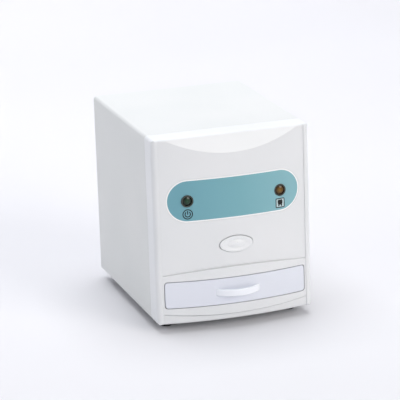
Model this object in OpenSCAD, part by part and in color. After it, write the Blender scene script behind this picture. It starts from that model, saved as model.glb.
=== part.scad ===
// Desktop reader for dental x-ray films. A drawer carries the film over a light box, and a camera
// above it takes the picture when the oval button is pressed.
// Inside each node X runs to the right, Y from the front strips to the rear, Z up from the case's edge.

/* [Case] */
// Width of the housing
body_w = 142; // [132:1:160]
// Height of the housing above its feet
body_h = 165; // [158:1:185]
// Depth from the front strips to the rear edge
body_d = 176; // [172:1:200]
// Wall of the wrapped case
case_t = 2; // [1.6:0.1:2.4]
// Radius of the long edges of the case
case_r = 3; // [2.5:0.1:5]
// Thickness of the base plate and the rear panel
plate_t = 2; // [1.5:0.1:3]
// Height of the rubber feet below the case
foot_h = 8; // [6:0.5:12]
// Diameter of the rubber feet
foot_d = 12; // [11:0.5:14]

/* [Front bezel] */
// Depth of the bezel's sides, up to the seam with the case
bezel_d = 20; // [17:0.5:22]
// Wall of the bezel
bezel_t = 2.5; // [2:0.1:3]
// Radius of the two upright front edges
corner_r = 4.5; // [3:0.1:5]
// Radius of the front edges at the top and the bottom
rim_r = 2; // [1:0.1:2.4]
// Width of the flat strip on each side of the face
strip_w = 5; // [4:0.1:7]
// Step from the strips back to the edge of the face
strip_step = 0.6; // [0.3:0.1:1.2]
// How far the middle of the face stands out from its edges
face_bulge = 7.1; // [5:0.1:8]
// Height of the slanted scoop at the middle of the face
scoop_drop = 16; // [10:0.5:20]
// How far the top edge of the scoop stands before the strips
scoop_lead = 0.3; // [0:0.1:1]
// Radius of the edge between the scoop and the top
scoop_r = 2.2; // [1:0.1:3]

/* [Drawer surround] */
// How far the middle of the surround stands out from its edges
pad_bulge = 8.9; // [8.2:0.1:11]
// How far the edges of the surround stand before the edges of the face
pad_lead = 0.2; // [0.1:0.05:0.5]
// Height of the upper groove at its ends
pad_top = 44.4; // [43:0.1:48]
// Height of the lower groove at its ends
pad_bottom = 9; // [7:0.1:10]
// Rise of the upper groove towards the middle
pad_rise = 3.7; // [2:0.1:6]
// Fall of the lower groove towards the middle
pad_fall = 3.8; // [1:0.1:4]
// Width of the two grooves
groove_w = 0.9; // [0.6:0.1:1.5]
// Depth of the two grooves
groove_d = 0.6; // [0.3:0.1:1]

/* [Drawer] */
// Height of the drawer front
drawer_h = 23.1; // [22:0.1:24]
// Height of the middle of the drawer front
drawer_z = 26.4; // [26:0.1:27.5]
// Distance from the drawer front's ends to the strips
drawer_margin = 2.3; // [1.5:0.1:4]
// Corner radius of the drawer front
drawer_r = 2.4; // [1.5:0.1:4]
// Gap around the drawer front
drawer_gap = 0.65; // [0.4:0.05:1]
// Room behind the tray, for the main board
rear_space = 46; // [45:1:50]
// Wall of the tray
tray_wall = 2; // [1.5:0.1:2.5]
// Height of the tray's walls
tray_h = 16; // [14:0.5:16.5]
// Length of the runners that stays in the rails when the drawer is open
drawer_hold = 23; // [20:1:40]
// Chord of the bow handle
handle_w = 40; // [34:1:60]
// How far the handle stands out from the drawer
handle_reach = 8; // [7.5:0.1:12]
// Thickness of the bow
handle_t = 3; // [2.5:0.1:3.2]
// Height of the bow
handle_h = 6.2; // [5:0.1:9]

/* [Scan button] */
// Width of the button cap
button_w = 29.6; // [26:0.1:34]
// Height of the button cap
button_h = 14.4; // [12:0.1:17]
// Gap around the button cap
button_gap = 0.55; // [0.3:0.05:0.7]
// Travel of the button
button_travel = 1.2; // [0.8:0.1:1.4]

/* [Indicator label] */
// Height of the label
label_h = 37.6; // [30:0.2:40]
// Distance from the label's ends to the strips
label_margin = 5.75; // [4:0.05:8]
// Thickness of the label
label_t = 0.4; // [0.3:0.05:0.6]
// Distance of the lamps from the label's ends
lamp_inset = 18.25; // [16:0.25:20]
// Diameter of the coloured lens of a lamp
lamp_d = 8.4; // [7:0.1:9]
// Width of the dark ring around a lamp
lamp_ring_w = 1.1; // [0.8:0.1:1.6]

/* [Film and optics] */
// Length of one film
film_l = 41; // [31:0.5:46]
// Width of one film
film_w = 31; // [22:0.5:36]
// Diameter of the screwed lens barrel
barrel_d = 12; // [11:0.5:13]
// Side of the square camera board
camera_board_w = 38; // [36:1:44]

/* [Hidden] */

// Sides of ordinary circles, and of the large arcs
$fn = 64;
arc_fn = 360;
// Overrun of every cut
over = 1;
// Clearances of pieces that are pushed together, of screws, of pivots and of pieces that slide
fit = 0.15;
screw_fit = 0.05;
pivot_fit = 0.06;
slide_fit = 0.3;

// The face is the front of two upright drums: one for the face, a rounder one for the drawer surround
half_w = body_w / 2;
face_x = half_w - strip_w;
face_y = strip_step - face_bulge;
face_r = (pow(face_x, 2) + pow(face_bulge, 2)) / (2 * face_bulge);
pad_y = strip_step - pad_lead - pad_bulge;
pad_r = (pow(face_x, 2) + pow(pad_bulge, 2)) / (2 * pad_bulge);
face_join = 3;
// The bezel's floor is shorter than its sides: the base plate comes forward between them
sill_d = 16;
scoop_run = -face_y - scoop_lead;
scoop_l = norm([scoop_run, scoop_drop]);
scoop_u = [scoop_run, scoop_drop] / scoop_l;
scoop_reach = 30;
groove_end = 2;
groove_x = face_x - groove_end;
upper_r = (pow(groove_x, 2) + pow(pad_rise, 2)) / (2 * pad_rise);
lower_r = (pow(groove_x, 2) + pow(pad_fall, 2)) / (2 * pad_fall);

// What is free on the face above the surround is shared out below and above the button and the label
button_low_share = 0.25;
label_low_share = 0.33;
face_low = pad_top + pad_rise;
face_free = body_h - scoop_drop - face_low - button_h - label_h;
button_z = face_low + button_low_share * face_free + button_h / 2;
label_z = button_z + button_h / 2 + label_low_share * face_free + label_h / 2;
label_w = 2 * (face_x - label_margin);
lamp_x = label_w / 2 - lamp_inset;

// Lip of the bezel inside the case, and the lugs that hold it to the base plate
lip_t = 1.5;
lip_root = 6;
lip_l = 4;
lug_w = 12;
lug_gap = 4.5;
lug_h = 4;
lug_l = 9;
lug_root = 8;
lug_sink = 0.5;

// The base plate lies a little above the lower edge of the case, the rear panel before its rear edge
plate_lift = 0.5;
floor_z = plate_lift + plate_t;
seam = 0.3;
rear_set = 3;
rear_y = body_d - rear_set;
rear_in = rear_y - plate_t;
plate_w = body_w - 2 * case_t - 2 * fit;
plate_front = sill_d + seam;
plate_rear = rear_in - seam;

// Screws: radius of the shank, head, drive and the pilot bore's extra depth
screw_r = 1.45;
screw_l = 8;
head_r = 2.8;
head_h = 1.7;
drive_w = 0.8;
drive_l = 3.2;
drive_d = 0.8;
pilot_spare = 2;
hole_r = screw_r + fit;
pilot_r = screw_r + screw_fit;

// Feet near the corners, screwed to bosses of the base plate
foot_taper = 1;
foot_side = 8;
foot_front = 1.2;
foot_x = half_w - foot_side - foot_d / 2;
foot_y = plate_front + foot_front + foot_d / 2;
foot_ys = [foot_y, body_d - foot_y];
foot_seat = 4;
foot_head_gap = 0.6;
foot_boss_r = 3.2;
foot_boss_h = 4;

// Bosses of the case for the base plate and the rear panel, on ribs from its wall
boss_inset = 10.5;
boss_back = 9;
boss_x = half_w - boss_inset;
boss_ys = [foot_y + boss_back, body_d - foot_y - boss_back];
boss_r = 3.4;
boss_h = 12;
rib_t = 3;
rear_boss_l = 12;
rear_boss_low = 22;
rear_boss_high = 15;
rear_zs = [rear_boss_low, body_h - rear_boss_high];

// Tray and rails
drawer_w = 2 * (face_x - drawer_margin);
front_t = 2.8;
front_rim = 2;
front_back = 3;
tray_inset = 15.7;
tray_drop = 9.4;
tray_x = drawer_w / 2 - tray_inset;
tray_z = drawer_z - tray_drop;
tray_y = front_back;
tray_end = rear_in - rear_space;
tray_l = tray_end - tray_y;
tray_top = tray_z + tray_h;
front_boss_in = 8;
front_boss_x = tray_x - front_boss_in;
front_boss_r = 3.6;
front_boss_y = pad_y + pow(front_boss_x, 2) / (2 * pad_r) + front_t;
runner_w = 2.2;
runner_h = 3;
runner_rise = 5;
runner_z = tray_z + runner_rise;
nib_lift = 0.5;
rail_start = 12;
rail_past = 10;
rail_end = tray_end + rail_past;
rail_t = 2;
rail_lip = 1.6;
rail_x = tray_x + runner_w + slide_fit;
rail_foot = 6;
lug_x = rail_x - rail_foot - lug_gap - lug_w / 2;
rail_screw_in = 3;
rail_screw_ends = 16;
rail_ys = [rail_start + rail_screw_ends, rail_end - rail_screw_ends];
flag_t = 1.2;
flag_l = 7;
flag_share = 0.46;
flag_h = 5;

// Stop of the drawer: a nib at the rear of each tray wall meets a block on the rail
drawer_travel = tray_end - rail_start - drawer_hold;
nib_w = 1.9;
nib_l = 4;
nib_h = 3;
nib_z = runner_z + runner_h + slide_fit + rail_lip + nib_lift;
stop_gap = 0.4;
stop_l = 5;
stop_y = tray_end - nib_l - drawer_travel - stop_gap;
stop_sink = 0.5;

// Handle: a bow in plan, round about an upright axis, with two tenons through the drawer front
handle_drop = 0.5;
handle_z = drawer_z - handle_drop;
handle_edge = 1.2;
handle_a = handle_w / 2;
handle_in = pad_r - sqrt(pow(pad_r, 2) - pow(handle_a, 2));
handle_rise = handle_reach + handle_in;
handle_r = (pow(handle_a, 2) + pow(handle_rise, 2)) / (2 * handle_rise);
handle_y = pad_y - handle_reach + handle_r;
handle_seat = 0.02;
tenon_w = 3;
tenon_h = 4;
tenon_in = 3;
tenon_l = 6;
tenon_x = handle_a - tenon_in;
tenon_front = 0.6;

// Film frame, its window and the light under it
frame_l = 60;
frame_h = 3.5;
lug_free = 1;
film_y = bezel_d + lug_l + lug_free + frame_l / 2;
film_play = 0.3;
film_d = 1;
film_rest = 1.5;
notch_r = 8;
window_rim = 7;
window_t = 1;
window_w = film_l + 2 * window_rim;
window_l = film_w + 2 * window_rim;
window_ledge = 2;
tray_floor = 2;
box_wall = 2;
box_floor = 2;
box_margin = 8;
box_w = 2 * (tray_x - box_margin);
box_l = frame_l;
box_gap = 2;
box_top = tray_z - box_gap;
diffuser_t = 2;
light_t = 1.6;
light_gap = 1;
led_w = 3.5;
led_h = 0.8;
led_pitch = 13;
led_cols = 5;
led_rows = 4;

// Scan button, the board behind it and its switch
oval_share = 0.62;
oval_blend = 0.012;
cap_proud = 0.9;
cap_rim = 1.5;
dish_d = 0.9;
dish_x = button_w / 2 - cap_rim;
dish_z = button_h / 2 - cap_rim;
dish_big = pow(dish_x, 2) / (2 * dish_d - pow(dish_x, 2) / (face_r + cap_proud));
dish_small = pow(dish_z, 2) / (2 * dish_d);
dome_share = 0.62;
dome_rise = 1.2;
dome_x = dome_share * dish_x;
dome_z = dome_share * dish_z;
dome_big = pow(dome_x, 2) / (2 * dome_rise - pow(dome_x, 2) / dish_big);
dome_small = pow(dome_z, 2) / (2 * dome_rise - pow(dome_z, 2) / dish_small);
cap_t = 2;
cap_wall = 1.6;
flange_w = 1.8;
flange_t = 1.2;
flange_gap = 0.9;
flange_y = face_y + bezel_t + flange_gap;
stem_r = 3;
board_y = 14;
board_t = 1.6;
board_past = 8;
board_w = 2 * (lamp_x + board_past);
board_low = 8;
board_high = 18;
board_edge = 5;
board_z0 = button_z - board_low;
board_z1 = label_z + board_high;
board_pts = [for (x = [-1, 1], z = [board_z0 + board_edge, board_z1 - board_edge])
    [x * (board_w / 2 - board_edge), z]];
board_boss_r = 3.5;
board_pilot = 7;
switch_w = 12;
switch_t = 4;
switch_y = board_y - switch_t;
plunger_r = 1.75;
plunger_l = 2.6;
plunger_sink = 2.6;
plunger_y = switch_y - plunger_l;

// Label and lamps
label_gap = 0.25;
label_seat = 0.05;
lamp_y = face_y + pow(lamp_x, 2) / (2 * face_r);
lamp_proud = 0.5;
lamp_body = 9;
lamp_flange = 1;
lamp_lead_r = 0.4;
lamp_lead_x = 1.3;
ring_proud = 0.3;
ring_l = 4;
ring_r = lamp_d / 2 + lamp_ring_w;

// Camera: a sheet portal over the drawer, with the lens looking down at the film
bridge_drop = 56;
bridge_z = body_h - bridge_drop;
sheet_t = 1.5;
leg_inset = 13;
leg_x = half_w - leg_inset;
leg_w = 24;
leg_foot = 8;
leg_hole_in = 4;
leg_hole_w = 14;
bridge_hole_r = 10;
hood_r = 18;
hood_low_r = 38;
hood_t = 1.5;
hood_flange = 6;
hood_neck = 16;
hood_gap = 5;
hood_z = tray_top + hood_gap;
standoff_r = 2.5;
standoff_h = 5;
standoff_in = 4;
camera_z = bridge_z + sheet_t + standoff_h;
camera_pts = [for (x = [-1, 1], y = [-1, 1]) [x, y] * (camera_board_w / 2 - standoff_in)];
sensor_w = 9;
sensor_t = 1.6;
holder_w = 20;
holder_t = 3;
holder_wall = 2;
holder_l = 12;
pocket_w = 10.4;
pocket_t = 2.2;
barrel_r = barrel_d / 2;
barrel_l = 16;
barrel_rim_w = 2;
barrel_rim_r = barrel_r + barrel_rim_w;
barrel_rim_l = 4;
barrel_bore = 4;
glass_seat = 1;
glass_l = 3;
glass_bulge_r = 14;
barrel_drop = 6;

// Main board, its parts and the sockets in the rear panel
main_gap = 3;
main_side = 2.5;
main_w = 2 * (rail_x - rail_foot - main_side);
flag_x = flag_share * main_w / 2;
main_rear = 3;
main_lift = 8;
main_y0 = tray_end + main_gap;
main_y1 = rear_in - main_rear;
main_z = floor_z + main_lift;
main_top = main_z + board_t;
main_in = 4;
main_pts = [for (x = [-1, 1], y = [main_y0 + main_in, main_y1 - main_in]) [x * (main_w / 2 - main_in), y]];
chip_w = 14;
chip_t = 1.4;
chip_share = -0.35;
chip_x = chip_share * main_w / 2;
chip_y = 10;
cap_can_r = 3;
cap_can_h = 8;
cap_can_y = 8;
cap_can_shares = [-0.02, 0.2, 0.7];
sensor_post = 2.5;
sensor_slot = 2.4;
sensor_l = 7;
sensor_h = 10;
sensor_base = 3;
usb_share = -0.5;
usb_x = usb_share * main_w / 2;
usb_w = 12;
usb_h = 11;
usb_l = 16;
usb_cut_w = 8.6;
usb_cut_h = 8;
usb_cut_l = 10;
usb_tongue_w = 5.6;
usb_tongue_h = 3.2;
usb_corner = 1.6;
jack_share = 0.15;
jack_x = jack_share * main_w / 2;
jack_w = 9;
jack_h = 11;
jack_l = 14;
jack_r = 3.2;
jack_cut = 9.5;
jack_pin_r = 1;
socket_proud = 0.3;
panel_gap = 0.3;
rocker_in = 31;
rocker_x = half_w - rocker_in;
rocker_z = 40;
rocker_w = 13;
rocker_h = 19;
rocker_flange = 1.4;
rocker_flange_t = 1.5;
rocker_l = 16;
rocker_wall = 1.2;
rocker_tilt = 8;
rocker_axis = 2.6;
rocker_lip = 3.2;
rocker_pin_r = 1;
rocker_pin_l = 0.9;
rocker_gap = 0.35;
vent_h = 2.6;
vent_pitch = 6.5;
vent_mid = 12;
vent_side = 18.85;
vent_w = (plate_w - vent_mid) / 2 - vent_side;
vent_x = (vent_mid + vent_w) / 2;
vent_rows = 9;
vent_drop = 22;

// The frame's origin is under the middle of the whole reader, from the handle to the rear edge
front_reach = handle_reach - pad_y;
front_y = (front_reach - body_d) / 2;

// Places a piece in the reader: case edge at foot height, front strips at front_y
module placed() {
    translate([0, front_y, foot_h]) children();
}

// A block from its lowest to its highest x, y and z
module block(xs, ys, zs) {
    translate([xs[0], ys[0], zs[0]]) cube([xs[1] - xs[0], ys[1] - ys[0], zs[1] - zs[0]]);
}

// An outline in X and Z, drawn along Y from y0 to y1
module along_y(y0, y1) {
    translate([0, y0, 0]) rotate([90, 0, 0]) mirror([0, 0, 1]) linear_extrude(height = y1 - y0) children();
}

// An outline in Y and Z, drawn along X over a width about the middle
module along_x(w) {
    rotate([90, 0, 90]) linear_extrude(height = w, center = true) children();
}

// A round bar along Y
module rod_y(r, y0, y1) {
    translate([0, y0, 0]) rotate([-90, 0, 0]) cylinder(r = r, h = y1 - y0);
}

// A bar along Y from y, whose front end is a dome of radius dome_r
module domed_rod(r, dome_r, y, l) {
    translate([0, y, 0]) rotate([-90, 0, 0]) rotate_extrude() intersection() {
        square([r, l]);
        translate([0, dome_r]) circle(dome_r, $fn = arc_fn);
    }
}

// An upright drum whose front stands at y
module drum(r, y, z0, z1) {
    translate([0, y + r, z0]) cylinder(r = r, h = z1 - z0, $fn = arc_fn);
}

module both() {
    children();
    mirror([1, 0, 0]) children();
}

module rounded(w, h, r) {
    square([w - 2 * r, h], center = true);
    square([w, h - 2 * r], center = true);
    for (x = [-1, 1], y = [-1, 1]) translate([x * (w / 2 - r), y * (h / 2 - r)]) circle(r);
}

module stadium(w, h) {
    square([w - h, h], center = true);
    for (x = [-1, 1]) translate([x * (w - h) / 2, 0]) circle(h / 2, $fn = arc_fn);
}

// An oval of four true arcs: small ones at the ends, a hair proud where they meet the large ones
module oval(w, h) {
    r = oval_share * h / 2;
    a = w / 2 - r;
    b = h / 2 - r;
    c = (pow(a, 2) - pow(b, 2)) / (2 * b);
    arc_r = h / 2 + c;
    join_x = arc_r * a / (arc_r - r);
    for (x = [-1, 1]) translate([x * a, 0]) circle(r + oval_blend);
    intersection() {
        translate([0, -c]) circle(arc_r, $fn = arc_fn);
        translate([0, c]) circle(arc_r, $fn = arc_fn);
        square([2 * join_x, h], center = true);
    }
}

// A screw that points along +Z, its head below z = 0
module screw(l) {
    difference() {
        union() {
            cylinder(r = screw_r, h = l);
            translate([0, 0, -head_h]) cylinder(r = head_r, h = head_h);
        }
        for (a = [0, 90]) rotate([0, 0, a])
            block([-drive_l / 2, drive_l / 2], [-drive_w / 2, drive_w / 2], [-head_h - over, drive_d - head_h]);
    }
}

// What lies before the slope of the scoop; the round edge at the top has radius r
module before_slope(inset, r) {
    turn = 180 - atan2(scoop_drop, scoop_run);
    t = r / tan(turn / 2);
    corner = [-scoop_lead, body_h] + inset * [scoop_u[1], -scoop_u[0]];
    low = corner - scoop_u * scoop_reach;
    along_x(body_w) difference() {
        polygon([low, corner - scoop_u * t, corner + [t, -r], corner + [t, over + inset],
            [low[0] - scoop_reach, corner[1] + over + inset], [low[0] - scoop_reach, low[1]]]);
        translate(corner + [t, -r]) circle(r);
    }
}

// The drum of the face with a rounded edge at its top and bottom
module face_drum() {
    translate([0, face_y + face_r, 0]) rotate_extrude($fn = arc_fn) {
        square([face_r - rim_r, body_h]);
        translate([0, rim_r]) square([face_r, body_h - 2 * rim_r]);
        for (z = [rim_r, body_h - rim_r]) translate([face_r - rim_r, z]) circle(rim_r);
    }
}

// Outline between the two grooves, grown by g
module surround_outline(g) {
    intersection() {
        translate([0, pad_top + pad_rise - upper_r]) circle(upper_r + g, $fn = arc_fn);
        translate([0, pad_bottom - pad_fall + lower_r]) circle(lower_r + g, $fn = arc_fn);
        translate([-face_x, 0]) square([body_w - 2 * strip_w, body_h]);
    }
}

// The strips, sides, top and bottom of the bezel as a solid, with every outer edge rounded
module bezel_block() {
    intersection() {
        along_y(0, bezel_d) translate([0, body_h / 2]) rounded(body_w, body_h, case_r);
        union() {
            block([-half_w, half_w], [corner_r, bezel_d], [0, body_h]);
            block([corner_r - half_w, half_w - corner_r], [0, bezel_d], [0, body_h]);
            both() translate([half_w - corner_r, corner_r, 0]) cylinder(r = corner_r, h = body_h);
        }
        union() {
            block([-half_w, half_w], [rim_r, bezel_d], [0, body_h]);
            block([-half_w, half_w], [0, bezel_d], [rim_r, body_h - rim_r]);
            for (z = [rim_r, body_h - rim_r]) translate([-half_w, rim_r, z]) rotate([0, 90, 0])
                cylinder(r = rim_r, h = body_w);
        }
    }
}

module bezel_solid() {
    difference() {
        bezel_block();
        block([-face_x, face_x], [-over, face_join], [-over, body_h + over]);
    }
    difference() {
        intersection() {
            union() {
                face_drum();
                intersection() {
                    drum(pad_r, pad_y, 0, body_h);
                    along_y(pad_y - over, bezel_d) surround_outline(0);
                }
            }
            block([-face_x, face_x], [pad_y - over, face_join], [0, body_h]);
        }
        before_slope(0, scoop_r);
    }
}

module bezel_hollow() {
    block([bezel_t - half_w, half_w - bezel_t], [bezel_t, bezel_d + over], [bezel_t, body_h - bezel_t]);
    difference() {
        intersection() {
            drum(face_r - bezel_t, face_y + bezel_t, bezel_t, body_h - bezel_t);
            block([bezel_t - face_x, face_x - bezel_t], [pad_y, face_join + over], [0, body_h]);
        }
        before_slope(bezel_t, 0);
    }
}

// Grooves above and below the drawer surround, of one depth all along
module groove_cuts() {
    difference() {
        along_y(pad_y - over, bezel_t) difference() {
            surround_outline(groove_w / 2);
            surround_outline(-groove_w / 2);
        }
        drum(face_r - groove_d, face_y + groove_d, -over, body_h + over);
        both() block([groove_x + groove_end / 2, half_w], [-body_h, body_h], [-over, body_h]);
    }
}

// Plan of the lip: three sides of the case's inside
module lip_outline() {
    difference() {
        translate([0, (body_h - case_t - fit) / 2]) difference() {
            square([plate_w, body_h - case_t - fit], center = true);
            square([plate_w - 2 * lip_t, body_h - case_t - fit - 2 * lip_t], center = true);
        }
        translate([-half_w, -over]) square([body_w, floor_z + fit + over]);
        for (x = [-1, 1]) translate([x * plate_w / 2, body_h - case_t - fit]) circle(case_r - case_t + fit);
    }
}

module front_bezel() {
    color("#e6e7ea") placed() {
        difference() {
            bezel_solid();
            bezel_hollow();
            groove_cuts();
            // Drawer opening
            along_y(pad_y - over, bezel_d) translate([0, drawer_z])
                rounded(drawer_w + 2 * drawer_gap, drawer_h + 2 * drawer_gap, drawer_r + drawer_gap);
            // Button opening
            along_y(pad_y, bezel_t + over) translate([0, button_z])
                oval(button_w + 2 * button_gap, button_h + 2 * button_gap);
            // Label recess and lamp holes
            difference() {
                along_y(pad_y, bezel_t) translate([0, label_z])
                    stadium(label_w + 2 * label_gap, label_h + 2 * label_gap);
                drum(face_r - label_t, face_y + label_t, 0, body_h);
            }
            for (x = [-1, 1]) translate([x * lamp_x, 0, label_z]) rod_y(ring_r + fit, pad_y, bezel_d);
            // Room for the base plate between the sides
            block([-plate_w / 2 - fit, plate_w / 2 + fit], [sill_d, bezel_d + over], [-over, floor_z + fit]);
        }
        bezel_lip();
        bezel_lugs();
        board_bosses();
    }
}

module bezel_lip() {
    along_y(bezel_d - lip_root, bezel_d + lip_l) lip_outline();
}

// Lugs that rest on the base plate and take its front screws
module bezel_lugs() {
    both() difference() {
        union() {
            block([lug_x - lug_w / 2, lug_x + lug_w / 2], [bezel_d - lug_root, bezel_d + lug_l],
                [floor_z, floor_z + lug_h]);
            block([lug_x - lug_w / 2, lug_x + lug_w / 2], [bezel_d - lug_root, sill_d],
                [bezel_t - lug_sink, floor_z + lug_h]);
        }
        translate([lug_x, bezel_d + lug_l / 2, floor_z - over]) cylinder(r = pilot_r, h = lug_h + 2 * over);
    }
}

// Bosses behind the face for the front board
module board_bosses() {
    intersection() {
        for (p = board_pts) translate([p[0], 0, p[1]]) difference() {
            rod_y(board_boss_r, pad_y, board_y);
            rod_y(pilot_r, board_y - board_pilot, board_y + over);
        }
        drum(face_r - bezel_t / 2, face_y + bezel_t / 2, 0, body_h);
    }
}

// Wrapped case: sides and top in one bend, open below, with bosses for its lower and rear screws
module case_shell() {
    color("#d2d7da") placed() difference() {
        union() {
            along_y(bezel_d + seam, body_d) difference() {
                translate([0, body_h / 2]) rounded(body_w, body_h, case_r);
                translate([0, body_h / 2 - case_t]) rounded(body_w - 2 * case_t, body_h, case_r - case_t + fit);
                translate([-half_w + case_t, -over]) square([body_w - 2 * case_t, body_h / 2]);
            }
            for (y = boss_ys) both() {
                translate([boss_x, y, floor_z]) cylinder(r = boss_r, h = boss_h);
                block([boss_x, half_w - case_t / 2], [y - rib_t / 2, y + rib_t / 2], [floor_z, floor_z + boss_h]);
            }
            for (z = rear_zs) both() {
                translate([boss_x, 0, z]) rod_y(boss_r, rear_in - rear_boss_l, rear_in);
                block([boss_x, half_w - case_t / 2], [rear_in - rear_boss_l, rear_in],
                    [z - rib_t / 2, z + rib_t / 2]);
            }
        }
        for (y = boss_ys) both() translate([boss_x, y, floor_z - over])
            cylinder(r = pilot_r, h = screw_l + pilot_spare + over);
        for (z = rear_zs) both() translate([boss_x, 0, z])
            rod_y(pilot_r, rear_in - screw_l - pilot_spare, rear_in + over);
    }
}

// Rear panel inside the case's rear edge, with vents and the cut-outs for the sockets and the switch
module rear_panel() {
    color("#cfd4d7") placed() difference() {
        along_y(rear_in, rear_y) difference() {
            translate([0, (floor_z + fit + body_h - case_t - fit) / 2])
                rounded(plate_w, body_h - case_t - floor_z - 2 * fit, case_r - case_t + fit);
            translate([usb_x, main_top + usb_h / 2])
                square([usb_w + 2 * panel_gap, usb_h + 2 * panel_gap], center = true);
            translate([jack_x, main_top + jack_h / 2])
                square([jack_w + 2 * panel_gap, jack_h + 2 * panel_gap], center = true);
            translate([rocker_x, rocker_z]) square([rocker_w + 2 * fit, rocker_h + 2 * fit], center = true);
            for (x = [-1, 1], i = [0 : vent_rows - 1])
                translate([x * vent_x, body_h - vent_drop - i * vent_pitch]) stadium(vent_w, vent_h);
        }
        for (z = rear_zs) both() translate([boss_x, 0, z]) rod_y(hole_r, rear_in - over, rear_y + over);
    }
}

// Every place where a screw passes up through the base plate, apart from the foot screws
function plate_pts() = concat(
    [for (x = [-1, 1]) [x * lug_x, bezel_d + lug_l / 2]],
    [for (x = [-1, 1], y = boss_ys) [x * boss_x, y]],
    [for (x = [-1, 1], y = rail_ys) [x * (rail_x - rail_screw_in), y]],
    [for (x = [-1, 1], y = [-1, 1]) [x * (leg_x + sheet_t + leg_hole_in), film_y + y * leg_hole_w / 2]]
);

// Base plate with a boss over each foot for its screw
module base_plate() {
    color("#b9bdc0") placed() difference() {
        union() {
            block([-plate_w / 2, plate_w / 2], [plate_front, plate_rear], [plate_lift, floor_z]);
            for (y = foot_ys) both() translate([foot_x, y, plate_lift])
                cylinder(r = foot_boss_r, h = plate_t + foot_boss_h);
        }
        for (p = plate_pts()) translate([p[0], p[1], 0]) cylinder(r = hole_r, h = floor_z + over);
        for (y = foot_ys) both() translate([foot_x, y, 0])
            cylinder(r = pilot_r, h = floor_z + foot_boss_h + over);
        for (p = main_pts) translate([p[0], p[1], 0]) cylinder(r = hole_r, h = floor_z + over);
    }
}

// Rubber foot: a tapered disc with a deep seat for its screw
module foot(x, y) {
    color("#2b2b2d") placed() translate([x, y, -foot_h]) difference() {
        cylinder(r1 = foot_d / 2 - foot_taper, r2 = foot_d / 2, h = foot_h + plate_lift);
        translate([0, 0, -over]) cylinder(r = hole_r, h = foot_h + 3 * over);
        translate([0, 0, -over]) cylinder(r = head_r + foot_head_gap, h = foot_h - foot_seat + over);
    }
}

module foot_screws() {
    color("#9a9da1") placed() for (y = foot_ys) both()
        translate([foot_x, y, -foot_seat]) screw(foot_seat + floor_z + foot_boss_h - nib_lift);
}

module plate_screws() {
    color("#9a9da1") placed() {
        for (p = plate_pts()) translate([p[0], p[1], plate_lift]) screw(plate_t + sheet_t + lug_h / 4);
        for (p = main_pts) translate([p[0], p[1], plate_lift]) screw(plate_t + main_lift / 3);
    }
}

module rear_screws() {
    color("#9a9da1") placed() for (z = rear_zs) both()
        translate([boss_x, rear_y, z]) rotate([90, 0, 0]) screw(plate_t + screw_l);
}

// Printed label, bent to the face
module indicator_label() {
    color("#80b8c0") placed() intersection() {
        along_y(pad_y, bezel_t) difference() {
            translate([0, label_z]) stadium(label_w, label_h);
            for (x = [-1, 1]) translate([x * lamp_x, label_z]) circle(ring_r + fit);
        }
        difference() {
            drum(face_r, face_y, 0, body_h);
            drum(face_r - label_t + label_seat, face_y + label_t - label_seat, 0, body_h);
        }
    }
}

// Indicator lamp: a domed lens, a flange and a spacer down to the board, with its two leads
module lamp(x) {
    dome_r = lamp_d / 2;
    tip = lamp_y - lamp_proud;
    translate([x, 0, label_z]) {
        domed_rod(dome_r, lamp_d, tip, lamp_body);
        rod_y(dome_r + lamp_flange, tip + lamp_body, tip + lamp_body + lamp_flange);
        for (s = [-1, 1]) translate([s * lamp_lead_x, 0, 0])
            rod_y(lamp_lead_r, tip + lamp_body, board_y);
    }
}

module power_lamp() {
    color("#2f5a44") placed() lamp(-lamp_x);
}

module film_lamp() {
    color("#a9762f") placed() lamp(lamp_x);
}

// Dark rings that hold the lamps in the bezel
module lamp_rings() {
    color("#26282b") placed() both() translate([lamp_x, 0, label_z]) difference() {
        rod_y(ring_r, lamp_y - ring_proud, lamp_y + ring_l);
        rod_y(lamp_d / 2 + screw_fit, lamp_y - ring_proud - over, lamp_y + ring_l + over);
    }
}

module front_board() {
    color("#1f6b43") placed() difference() {
        block([-board_w / 2, board_w / 2], [board_y, board_y + board_t], [board_z0, board_z1]);
        for (p = board_pts) translate([p[0], 0, p[1]]) rod_y(hole_r, board_y - over, board_y + board_t + over);
    }
}

module front_board_screws() {
    color("#9a9da1") placed() for (p = board_pts)
        translate([p[0], board_y + board_t, p[1]]) rotate([90, 0, 0]) screw(board_t + board_pilot - over);
}

module switch_body() {
    color("#2a2a2c") placed() translate([0, 0, button_z]) difference() {
        block([-switch_w / 2, switch_w / 2], [switch_y, board_y], [-switch_w / 2, switch_w / 2]);
        rod_y(plunger_r + pivot_fit, switch_y - over, board_y - switch_t / 4 + pivot_fit);
    }
}

module switch_plunger() {
    color("#d9d9d6") placed() translate([0, 0, button_z])
        rod_y(plunger_r, plunger_y, switch_y + switch_t * 3 / 4 - button_travel - slide_fit);
}

// A disc about an upright axis with a half-round edge, whose front serves as a dome or a dish
module round_disc(big_r, small_r) {
    rotate_extrude($fn = arc_fn) {
        translate([0, -small_r]) square([big_r - small_r, 2 * small_r]);
        translate([big_r - small_r, 0]) circle(small_r);
    }
}

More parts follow.
